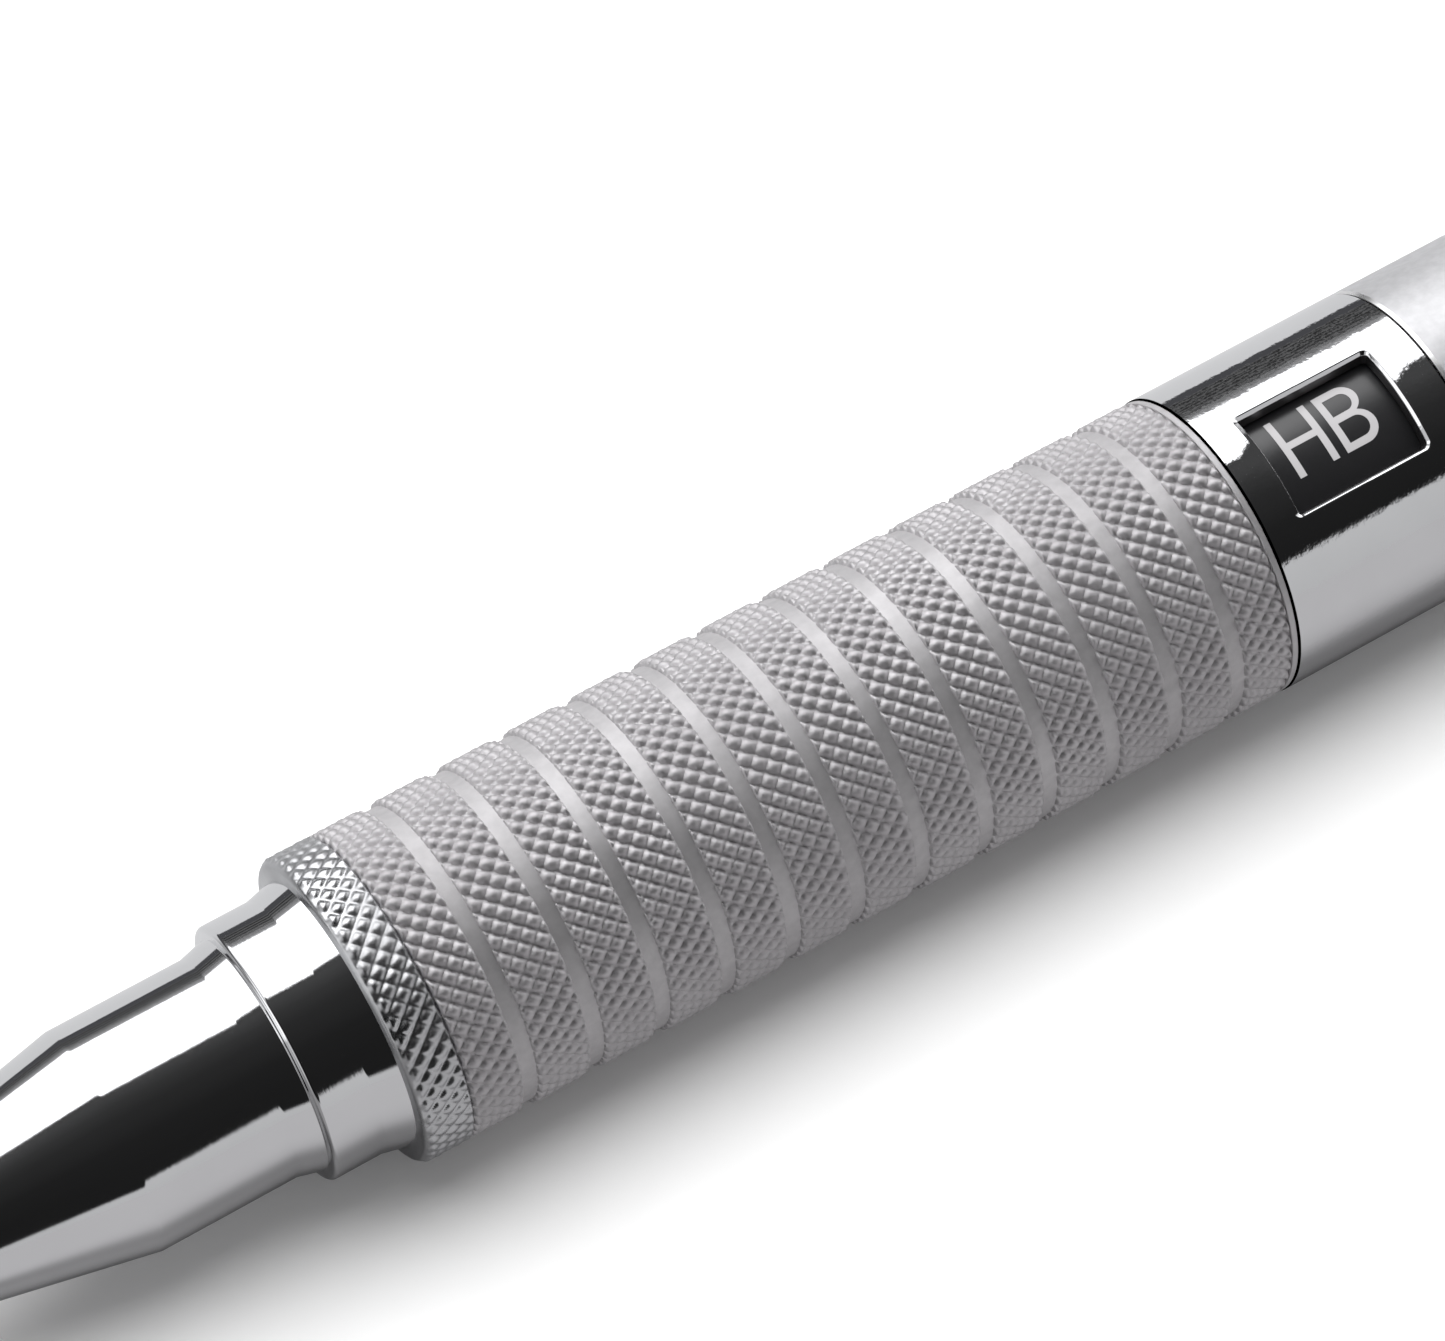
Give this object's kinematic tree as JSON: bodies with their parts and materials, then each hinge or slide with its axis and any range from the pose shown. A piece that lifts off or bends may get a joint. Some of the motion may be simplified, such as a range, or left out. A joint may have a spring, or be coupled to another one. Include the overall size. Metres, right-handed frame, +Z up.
{
  "type": "mechanical pencil",
  "caption": "Metal drafting pencil with a knurled, grooved grip, a turning ring with a lead grade window, a clip and a push cap, with its clutch inside.",
  "frame": {"origin": "centre of the lead sleeve's front end, on the pencil's axis", "axes": "+X along the axis from the tip to the push cap, +Z up with the pencil lying down; the window faces up"},
  "size_m": [0.1445, 0.0118, 0.0094],
  "materials": {
    "bright_chrome": "mirror bright, light handling marks",
    "knurled_chrome": "bright plated diamond knurl",
    "satin_grip": "satin, fine diamond knurl between smooth grooves",
    "satin_barrel": "fine satin, brushed round the axis",
    "sleeve_steel": "bright drawn tube",
    "spring_steel": "drawn wire",
    "turned_brass": "fine turned",
    "drum_black": "gloss black with white printed lead grades",
    "reservoir": "natural translucent plastic",
    "holder_plastic": "moulded satin black",
    "graphite": "dark graphite sheen",
    "seal_rubber": "matt black",
    "eraser_white": "soft white vinyl",
    "end_metal": "bright turned"
  },
  "bodies": {
    "pencil": {"lead_sleeve": "sleeve_steel", "nose_cone": "bright_chrome", "lead_retainer": "seal_rubber", "tip_collar": "knurled_chrome", "grip_sleeve": "satin_grip", "core_tube": "turned_brass", "clutch_sleeve": "turned_brass", "return_spring": "spring_steel", "grade_drum": "drum_black", "friction_ring": "seal_rubber", "barrel": "satin_barrel", "barrel_insert": "turned_brass", "rear_bush": "end_metal", "clip_ring": "bright_chrome"},
    "plunger": {"chuck_stem": "turned_brass", "chuck_connector": "turned_brass", "lead_tube": "reservoir", "spare_leads": "graphite", "eraser_holder": "holder_plastic", "eraser": "eraser_white"},
    "cap": {"push_cap": "end_metal"},
    "clutch": {"clutch_ring": "turned_brass"},
    "jaw_a": {"chuck_jaw_a": "turned_brass"},
    "jaw_b": {"chuck_jaw_b": "turned_brass"},
    "jaw_c": {"chuck_jaw_c": "turned_brass"},
    "lead": {"lead": "graphite"},
    "window_ring": {"window_ring": "bright_chrome"},
    "clip": {"pocket_clip": "bright_chrome"}
  },
  "joints": [
    {"name": "push", "type": "slide", "parent": "pencil", "child": "plunger", "axis": [-1, 0, 0], "range_m": [0, 0.0025], "stiffness_N_per_m": 300, "springref_m": -0.004, "deforming": ["return_spring"]},
    {"name": "cap_pull", "type": "slide", "parent": "plunger", "child": "cap", "axis": [1, 0, 0], "range_m": [0, 0.014]},
    {"name": "clutch_slide", "type": "slide", "parent": "pencil", "child": "clutch", "axis": [-1, 0, 0], "range_m": [0, 0.0006]},
    {"name": "jaw_a_open", "type": "hinge", "parent": "plunger", "child": "jaw_a", "pos_m": [0.02447, -0.00078, 0.00045], "axis": [0, 0.5, 0.866], "range_deg": [0, 1.6]},
    {"name": "jaw_b_open", "type": "hinge", "parent": "plunger", "child": "jaw_b", "pos_m": [0.02447, 0, -0.0009], "axis": [0, -1, 0], "range_deg": [0, 1.6]},
    {"name": "jaw_c_open", "type": "hinge", "parent": "plunger", "child": "jaw_c", "pos_m": [0.02447, 0.00078, 0.00045], "axis": [0, 0.5, -0.866], "range_deg": [0, 1.6]},
    {"name": "lead_feed", "type": "slide", "parent": "pencil", "child": "lead", "axis": [-1, 0, 0], "range_m": [-0.0005, 0.005]},
    {"name": "grade_select", "type": "hinge", "parent": "pencil", "child": "window_ring", "pos_m": [0.05507, 0, 0], "axis": [1, 0, 0], "continuous": true},
    {"name": "clip_flex", "type": "hinge", "parent": "pencil", "child": "clip", "pos_m": [0.1295, -0.00426, -0.00221], "axis": [0, -0.4602, 0.8878], "range_deg": [0, 3.5], "stiffness_Nm_per_rad": 0.05}
  ],
  "couplings": [
    {"joint": "clutch_slide", "follows": "push", "ratio": 0.24},
    {"joint": "jaw_a_open", "follows": "push", "rad_per_m": 11.169},
    {"joint": "jaw_b_open", "follows": "push", "rad_per_m": 11.169},
    {"joint": "jaw_c_open", "follows": "push", "rad_per_m": 11.169}
  ]
}
